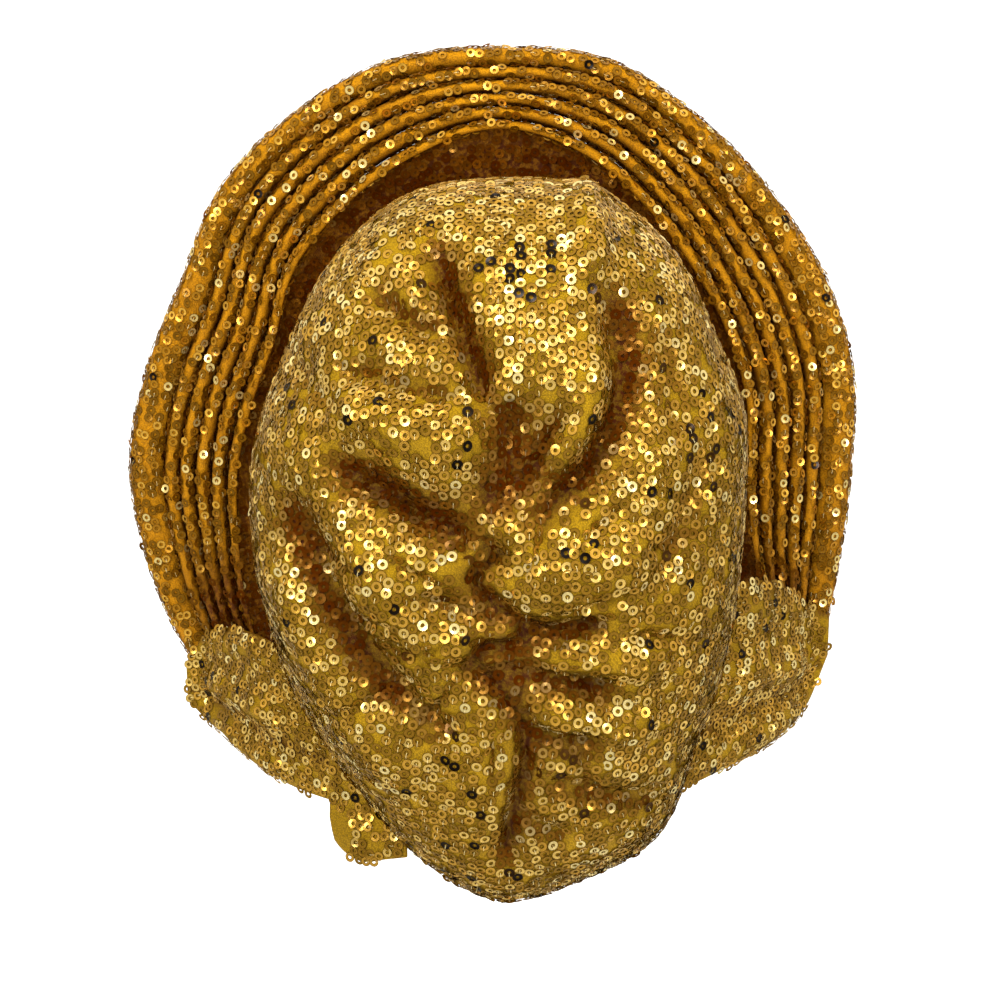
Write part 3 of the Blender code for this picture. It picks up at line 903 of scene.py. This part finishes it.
def joined_copies(name, shape, places, axes, hidden):
    """One mesh with a copy of the shape in each frame, and with the attributes of each copy."""
    corners, faces = shape
    count, corner_count = len(places), len(corners)
    points = np.einsum("ck,nkj->ncj", corners, axes) + places[:, None]
    loops = (faces[None] + (np.arange(count) * corner_count)[:, None, None]).reshape(-1)
    mesh = bpy.data.meshes.new(name)
    mesh.vertices.add(count * corner_count)
    mesh.vertices.foreach_set("co", (points * MM).reshape(-1))
    mesh.loops.add(len(loops))
    mesh.loops.foreach_set("vertex_index", loops)
    mesh.polygons.add(count * len(faces))
    mesh.polygons.foreach_set("loop_start", np.arange(count * len(faces)) * faces.shape[1])
    mesh.update(calc_edges=True)
    out = np.hypot(corners[:, 0], corners[:, 1])
    edge = (out - out.min()) / (out.max() - out.min())
    # Per sequin its shade of painted reflection and its painted crease shade; per corner its nearness to
    # the ring's edges, where a painted shadow ring is drawn.
    for kept, domain, values in (
        ("tint", "FACE", np.repeat(tints_at(places), len(faces))),
        ("hidden", "FACE", np.repeat(hidden, len(faces))),
        ("edge", "POINT", np.tile(edge, count)),
    ):
        mesh.attributes.new(kept, "FLOAT", domain).data.foreach_set("value", values)
    return in_scene(name, mesh)


on_sheet = {}


def lay_sequins(sheet, name, laid, hidden):
    """The sequins of one sheet of cloth and the threads over some of them."""
    axes = leaning_frames(laid)
    height = SEQUIN_LIFT + chance.random((len(laid), 1)) * LIFT_WANDER
    aside = chance.normal(size=(len(laid), 2, 1)) * PLACE_WANDER
    places = laid[:, 0:3] + laid[:, 3:6] * height + axes[:, 0] * aside[:, 0] + axes[:, 1] * aside[:, 1]
    seen = chance.random(len(laid)) < THREAD_SHARE
    sequins = joined_copies(name + "_sequins", SEQUIN, places, axes, hidden)
    threads = joined_copies(name + "_threads", STITCH, places[seen], axes[seen], hidden[seen])
    on_sheet.setdefault(sheet.name, []).extend([sequins, threads])
    print(name, "sequins", len(laid), "triangles", 2 * len(sequins.data.polygons), "threads", seen.sum())


lay_sequins(cap, "crown_left", cap_left, cap_painted_shade(cap_left))
lay_sequins(cap, "crown_right", cap_right, cap_painted_shade(cap_right))
for sheet, band in zip(brim_cloth, brim_bands):
    lay_sequins(sheet, sheet.name.replace("_cloth", ""), band[:, :9], band[:, 9])
for sheet, band in ((wrap_left, left_band), (wrap_right, right_band), (tail, tail_band)):
    lay_sequins(sheet, sheet.name.replace("_cloth", ""), band, np.zeros(len(band)))

# %% [markdown]
# ## Materials
# Colours are given as a painter reads them, in sRGB hex, and turned to the linear values that shaders
# need. One small helper adds a node with its settings and links, and four more give the commonest nodes
# together with the output that the next node takes.

# %% Colour and node helpers
def linear(hex_colour):
    values = [int(hex_colour[i:i + 2], 16) / 255 for i in (1, 3, 5)]
    return [v / 12.92 if v <= 0.04045 else ((v + 0.055) / 1.055) ** 2.4 for v in values] + [1.0]


def add_node(material, kind, inputs=(), **settings):
    """A node with its settings. An input is linked if it is a (node, output) pair, or else set."""
    node = material.node_tree.nodes.new("ShaderNode" + kind)
    for key, value in settings.items():
        setattr(node, key, value)
    for key, value in dict(inputs).items():
        if isinstance(value, tuple) and isinstance(value[0], bpy.types.Node):
            material.node_tree.links.new(value[0].outputs[value[1]], node.inputs[key])
        else:
            node.inputs[key].default_value = value
    return node


def attribute(material, name):
    return add_node(material, "Attribute", attribute_name=name), "Fac"


def mixed(material, factor, start, end):
    return add_node(material, "Mix", {"Factor": factor, "A": start, "B": end}, data_type="RGBA"), "Result"


def product(material, one, other):
    return add_node(material, "Math", {0: one, 1: other}, operation="MULTIPLY"), "Value"


def ranged(material, value, start, end, low, high):
    """The value with the range from start to end brought to the one from low to high."""
    span = {"From Min": start, "From Max": end, "To Min": low, "To Max": high}
    return add_node(material, "MapRange", {"Value": value, **span}), "Result"


def set_stops(ramp_node, stops, interpolation="LINEAR"):
    ramp = ramp_node.color_ramp
    ramp.interpolation = interpolation
    while len(ramp.elements) < len(stops):
        ramp.elements.new(0.5)
    for element, (at, _) in zip(ramp.elements, stops):
        element.position = at
    for element, (_, colour) in zip(ramp.elements, stops):
        element.color = colour


def new_material(name):
    material = bpy.data.materials.new(name)
    material.use_nodes = True
    material.node_tree.nodes.remove(material.node_tree.nodes["Principled BSDF"])
    return material


def surface(material, node, output="BSDF"):
    out = material.node_tree.nodes["Material Output"]
    material.node_tree.links.new(node.outputs[output], out.inputs["Surface"])


# %% [markdown]
# ## The film
# The sequins are punched from plastic film with a very thin layer of metal. From piece to piece the film
# takes one of a few shades, from dull ochre to nearly white, which stand for what each sequin mirrors: the
# nearly white ones are painted highlights, and a few near black ones are a painted reflection of the dark
# side of the room. A painted shadow at the rim and round the hole draws each ring's outline. In a crease
# they get a painted warm reflection and painted shade, the bright ones the least shade. Those of the brim
# have darker, warmer shades: painted shade and warm light thrown between its gold folds.

# %% Gold film of the sequins
# A painted shadow ring at each sequin's rim and round its hole.
RING_SHADOW_BROWN = "#4A2A08"
# Painted shade in the creases, for film, thread and knit.
CREASE_SHADE_BROWN = "#3F1700"
# Painted warm reflection of gold on gold in the creases.
PAINTED_BOUNCE_GOLD = "#8A5C10"
# Shades that stand for what each sequin mirrors: the palest are painted highlights, the last a painted dark
# reflection of the room.
CAP_FILM = ((0.0, "#A0771F"), (0.42, "#CE9E3A"), (0.7, "#EEC86A"), (0.91, "#FCE59A"), (0.965, "#120C06"))
# The brim's shades are darker and warmer: painted shade and warm light thrown between its gold folds.
BRIM_FILM = ((0.0, "#94660F"), (0.45, "#C48A20"), (0.72, "#F0B844"), (0.9, "#FCE08C"), (0.975, "#140C06"))
FILM_SHINE, FILM_ROUGHNESS = 0.7, 0.22


def film_material(name, shades):
    """Thin gold film: every sequin has one of the shades with its painted reflection, a painted shadow ring
    at its edges, and painted shade with a painted warm reflection in a crease.
    """
    film = new_material(name)
    tint, edge, hidden = (attribute(film, kept) for kept in ("tint", "edge", "hidden"))
    shade = add_node(film, "ValToRGB", {"Fac": tint})
    set_stops(shade, [(at, linear(colour)) for at, colour in shades], "CONSTANT")
    # Painted shadow ring at the rim and round the hole.
    shadow_ring = add_node(film, "ValToRGB", {"Fac": edge})
    white, black = (1, 1, 1, 1), (0, 0, 0, 1)
    set_stops(shadow_ring, [(0, white), (0.08, white), (0.14, black), (0.88, black), (0.93, white)])
    ring_shadowed = mixed(film, (shadow_ring, "Color"), (shade, "Color"), linear(RING_SHADOW_BROWN))
    # Painted warm reflection in a crease.
    with_painted_bounce = mixed(film, hidden, ring_shadowed, linear(PAINTED_BOUNCE_GOLD))
    look = {"Metallic": FILM_SHINE, "Roughness": FILM_ROUGHNESS, "Base Color": with_painted_bounce}
    shiny = add_node(film, "BsdfPrincipled", look)
    # Painted crease shade, mixed in over the film.
    painted_crease_shade = add_node(film, "BsdfDiffuse", {"Color": linear(CREASE_SHADE_BROWN)})
    share = product(film, hidden, ranged(film, tint, 0.35, 0.85, 0.95, 0.5))
    both = add_node(film, "MixShader", {0: share, 1: (shiny, "BSDF"), 2: (painted_crease_shade, "BSDF")})
    surface(film, both, "Shader")
    return film


cap_gold = film_material("metallised_gold_film", CAP_FILM)
# The brim's film is a copy with painted shade and painted warm light.
brim_gold = film_material("metallised_gold_film_of_the_brim", BRIM_FILM)

# %% [markdown]
# ## Thread and knit
# A pale thread holds each sequin through its hole and takes the same painted crease shade. The cloth below
# is a fine knit, here cells 0.7 mm across with a slight bump. In the creases a finer noise breaks up the
# painted shade, standing for cloth that is too crumpled to model.

# %% Thread
thread = new_material("pale_sewing_thread")
# The thread darkens with the painted crease shade.
thread_in_painted_shade = mixed(thread, attribute(thread, "hidden"), linear("#E4CF90"), linear(CREASE_SHADE_BROWN))
look = {"Roughness": 0.5, "Specular IOR Level": 0.3, "Base Color": thread_in_painted_shade}
surface(thread, add_node(thread, "BsdfPrincipled", look))

# %% Mustard knit
KNIT_LOOP = 0.7
HOLLOW_MIDDLE = Vector((0.0, -90.0, 150.0)) * MM


def knit_material(name, dark, light, inside_open):
    """Knit cloth: fine loops, a dye that drifts a little, and painted shade in a crease. Where the inside
    is open, the face that is turned to the hollow's middle has none of the painted crease shade of the
    outside."""
    knit = new_material(name)
    place = (add_node(knit, "TexCoord"), "Object")
    loops = add_node(knit, "TexVoronoi", {"Scale": 1 / (KNIT_LOOP * MM), "Vector": place}, feature="F1")
    drift = add_node(knit, "TexNoise", {"Scale": 40.0, "Detail": 3.0, "Vector": place})
    dye = mixed(knit, (drift, "Fac"), linear(dark), linear(light))
    loop_shade = ranged(knit, (loops, "Distance"), 0.0, 0.8, 1.2, 0.5)
    dyed = add_node(knit, "VectorMath", {0: dye, "Scale": loop_shade}, operation="SCALE")
    # A fine noise breaks up the painted crease shade.
    crumple_shade_noise = add_node(knit, "TexNoise", {"Scale": 420.0, "Detail": 2.0, "Vector": place})
    light_lost = ranged(knit, (crumple_shade_noise, "Fac"), 0.4, 0.6, 1.0, 0.65)
    share = product(knit, attribute(knit, "hidden"), light_lost)
    if inside_open:
        from_middle = add_node(knit, "VectorMath", {0: place, 1: HOLLOW_MIDDLE}, operation="SUBTRACT")
        way_out = add_node(knit, "VectorMath", {0: (from_middle, "Vector")}, operation="NORMALIZE")
        both_ways = {0: (way_out, "Vector"), 1: (add_node(knit, "NewGeometry"), "Normal")}
        turned = add_node(knit, "VectorMath", both_ways, operation="DOT_PRODUCT")
        share = product(knit, share, ranged(knit, (turned, "Value"), -0.35, -0.15, 0.0, 1.0))
    painted_crease_shade = mixed(knit, share, (dyed, "Vector"), linear(CREASE_SHADE_BROWN))
    bump = add_node(knit, "Bump", {"Strength": 0.6, "Distance": 0.0004, "Height": (loops, "Distance")})
    look = {"Roughness": 0.8, "Specular IOR Level": 0.15, "Base Color": painted_crease_shade, "Normal": (bump, "Normal")}
    surface(knit, add_node(knit, "BsdfPrincipled", look))
    return knit


cap_knit = knit_material("mustard_knit", "#7E5F04", "#AC8308", True)
# The brim's knit is a warmer copy of the same cloth: painted warm light thrown between its gold folds.
brim_knit = knit_material("mustard_knit_of_the_brim", "#925C00", "#CA8802", False)

# %% [markdown]
# ## Putting the pieces in the frame
# Every piece rides on the one body and takes its slot's name, and each cloth stands for the solid that it
# covers.

for sheet in (cap, *brim_cloth, wrap_left, wrap_right, tail):
    node = sheet.name.replace("_cloth", "")
    in_brim = sheet in brim_cloth
    sheet.data.materials.append(brim_knit if in_brim else cap_knit)
    sequins, threads = on_sheet[sheet.name][::2], on_sheet[sheet.name][1::2]
    for piece in sequins:
        piece.data.materials.append(brim_gold if in_brim else cap_gold)
    for piece in threads:
        piece.data.materials.append(thread)
    for piece in (sheet, *sequins, *threads):
        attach(piece, "root")
    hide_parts(node)

# %% [markdown]
# ## Floor and light
# The floor is plain and nearly white, well below the cap. Soft wide lights stand to the sides and above;
# the side that the gathered back faces is left darker, so that sequins turned straight to it go dark.

# %% Floor
FLOOR_Z = -0.6
FLOOR_HALF = 9.0
SWEEP_FROM_Y, SWEEP_RADIUS, SWEEP_TOP = -1.6, 1.6, 4.0

sweep = table(
    "y z",
    (FLOOR_HALF, FLOOR_Z),
    *(
        (SWEEP_FROM_Y - SWEEP_RADIUS * sin(turn), FLOOR_Z + SWEEP_RADIUS * (1 - cos(turn)))
        for turn in np.linspace(0, pi / 2, 17)
    ),
    (SWEEP_FROM_Y - SWEEP_RADIUS, SWEEP_TOP),
)
floor_shape = bmesh.new()
bmesh.ops.create_grid(floor_shape, x_segments=1, y_segments=len(sweep) - 1, size=1.0)
for vert in floor_shape.verts:
    station = sweep[round((vert.co.y + 1) / 2 * (len(sweep) - 1))]
    vert.co = Vector((vert.co.x * FLOOR_HALF, station["y"], station["z"]))
bmesh.ops.reverse_faces(floor_shape, faces=floor_shape.faces[:])
floor_data = bpy.data.meshes.new("floor")
floor_shape.to_mesh(floor_data)
floor_shape.free()
floor_data.shade_smooth()
floor = in_scene("floor", floor_data)
floor.visible_glossy = False
paint = new_material("matt_white_paint")
look = {"Base Color": linear("#F6F6F4"), "Roughness": 0.9, "Emission Color": (1, 1, 1, 1),
        "Emission Strength": 0.45}
surface(paint, add_node(paint, "BsdfPrincipled", look))
floor_data.materials.append(paint)

# %% [markdown]
# ## The lights
# Wide boxes, which the film does not mirror, give the soft light. A few small lamps are mirrored, and
# make those sequins sparkle that happen to face them.

# %% Lights
for name, place, size, power, seen_in_film in (
    ("left_box", (1.4, 1.3, 1.3), 0.9, 15, False),
    ("right_box", (-1.4, 1.2, 1.3), 0.9, 13, False),
    ("top_box", (0.1, 0.5, 1.8), 0.8, 28, False),
    ("front_box", (0.0, -1.8, 1.4), 1.4, 10, False),
    ("left_lamp", (0.95, 1.4, 1.15), 0.42, 8, True),
    ("right_lamp", (-0.8, 1.5, 1.1), 0.42, 7.5, True),
    ("high_lamp", (0.15, 0.9, 1.9), 0.45, 7, True),
    ("low_left_lamp", (1.3, 1.1, 0.35), 0.36, 6, True),
    ("low_right_lamp", (-1.2, 1.2, 0.3), 0.36, 6, True),
    ("back_lamp", (0.3, 1.7, 0.8), 0.3, 5, True),
):
    lamp = bpy.data.lights.new(name, "AREA")
    lamp.shape, lamp.size, lamp.energy = "DISK", size, power
    light = in_scene(name, lamp)
    light.location = place
    light.rotation_euler = (LOOKED_AT - Vector(place)).to_track_quat("-Z", "Y").to_euler()
    light.visible_glossy = seen_in_film
print("lights", len(bpy.data.lights))

# %% [markdown]
# ## The room
# What the film mirrors is a room of darker and lighter patches, brighter towards the top and dark where
# the camera stands, so that a sequin turned straight to the camera goes dark. The camera itself sees
# plain white behind the cap.

# %% The room that the film mirrors
ROOM_PATCHES = 2.4
ROOM_LEVELS = ((0.36, 0.35), (0.42, 0.9), (0.6, 1.05), (0.66, 2.2))
DARK_DISC, DISC_FADE = 0.955, 0.02

world = bpy.data.worlds.new("studio")
world.use_nodes = True
bpy.context.scene.world = world
backdrop = world.node_tree.nodes["Background"]
direction = (add_node(world, "TexCoord"), "Generated")
patches = add_node(world, "TexNoise", {"Scale": ROOM_PATCHES, "Detail": 1.5, "Vector": direction})
room = add_node(world, "ValToRGB", {"Fac": (patches, "Fac")})
warm = [(at, (level, level * 0.88, level * 0.66, 1)) for at, level in ROOM_LEVELS]
set_stops(room, [(0, (0.12, 0.07, 0.03, 1)), *warm, (1, (4.0, 3.9, 3.6, 1))])
upwards = add_node(world, "SeparateXYZ", {"Vector": direction})
height = ranged(world, (upwards, "Z"), -0.45, 0.9, 0.34, 0.7)
height[0].interpolation_type = "SMOOTHSTEP"
facing = add_node(world, "VectorMath", {0: direction, 1: backwards}, operation="DOT_PRODUCT")
disc = ranged(world, (facing, "Value"), DARK_DISC, DARK_DISC + DISC_FADE, 1.0, 0.15)
levels = product(world, height, disc)
mirrored = add_node(world, "VectorMath", {0: (room, "Color"), "Scale": levels}, operation="SCALE")
ray = add_node(world, "LightPath")
lit = mixed(world, (ray, "Is Diffuse Ray"), (mirrored, "Vector"), (0.34, 0.33, 0.31, 1))
seen, result = mixed(world, (ray, "Is Camera Ray"), lit, (0.98, 0.98, 0.98, 1))
world.node_tree.links.new(seen.outputs[result], backdrop.inputs["Color"])
bpy.context.scene.view_settings.view_transform = "Standard"
